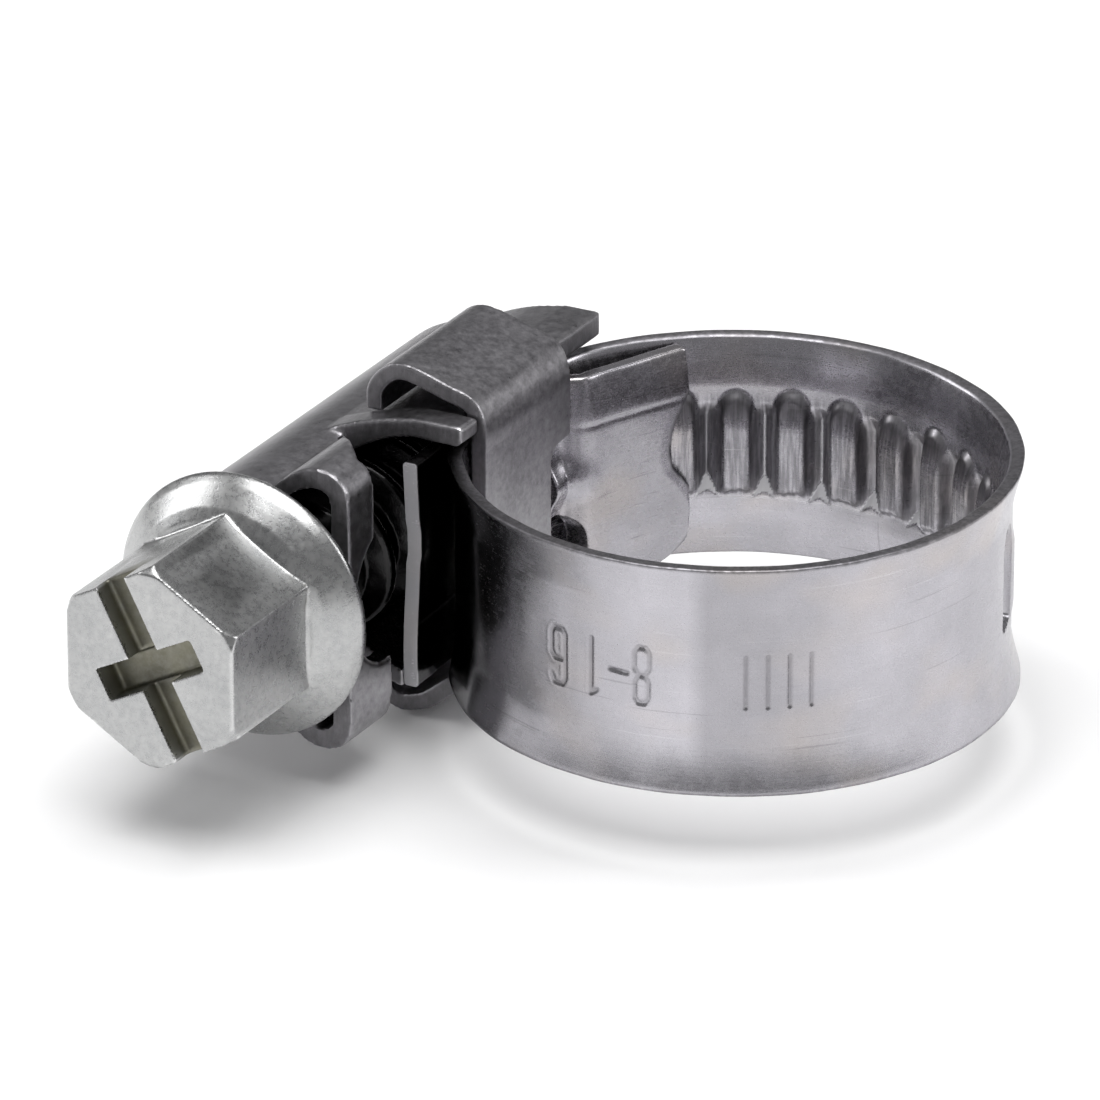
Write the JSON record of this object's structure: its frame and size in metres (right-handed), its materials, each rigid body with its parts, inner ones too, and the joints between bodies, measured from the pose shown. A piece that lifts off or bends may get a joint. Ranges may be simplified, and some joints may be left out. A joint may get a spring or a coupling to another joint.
{
  "type": "hose clamp",
  "caption": "Worm-drive hose clamp: a thin steel band bent round into a ring, its threaded tail drawn through a pressed housing by a slotted hexagon-head screw.",
  "frame": {"origin": "centre of the clamp's bounding box in plan, at the height of its lowest point, under the saddle hook", "axes": "+Z along the axis of the ring, so the band stands on its edge; the screw runs along Y beside the ring at -X, with its hexagon head towards -Y"},
  "size_m": [0.0294, 0.0293, 0.0141],
  "materials": {
    "band_steel": "satin stainless strip, softly reflective",
    "housing_steel": "darker satin pressed steel, scuffed, with rough sheared edges",
    "screw_zinc": "zinc-plated, slightly warm, lightly speckled"
  },
  "bodies": {
    "housing_and_fixed_band": {"housing": "housing_steel", "bridge": "housing_steel", "band_front": "band_steel"},
    "screw": {"screw": "screw_zinc"},
    "band_back": {"band_back": "band_steel"},
    "band_tail": {"band_tail": "band_steel"},
    "band_tongue": {"band_tongue": "band_steel"}
  },
  "joints": [
    {"name": "screw_turn", "type": "hinge", "parent": "housing_and_fixed_band", "child": "screw", "pos_m": [-0.00952, -0.00395, 0.00702], "axis": [0, 1, 0], "range_deg": [-360, 360]},
    {"name": "band_back_bend", "type": "hinge", "parent": "housing_and_fixed_band", "child": "band_back", "pos_m": [0.01397, 0.0044, 0.00702], "axis": [0, 0, 1], "range_deg": [-6.5, 6.5]},
    {"name": "band_tail_bend", "type": "hinge", "parent": "band_back", "child": "band_tail", "pos_m": [-0.00582, 0.00371, 0.00702], "axis": [0, 0, 1], "range_deg": [-6.5, 6.5]},
    {"name": "band_tongue_bend", "type": "hinge", "parent": "housing_and_fixed_band", "child": "band_tongue", "pos_m": [-0.00482, 0.00515, 0.00702], "axis": [0, 0, 1], "range_deg": [-8.7, 8.7]}
  ],
  "couplings": [
    {"joint": "band_back_bend", "follows": "screw_turn", "ratio": 0.017604},
    {"joint": "band_tail_bend", "follows": "screw_turn", "ratio": -0.017604},
    {"joint": "band_tongue_bend", "follows": "screw_turn", "ratio": -0.0235}
  ]
}
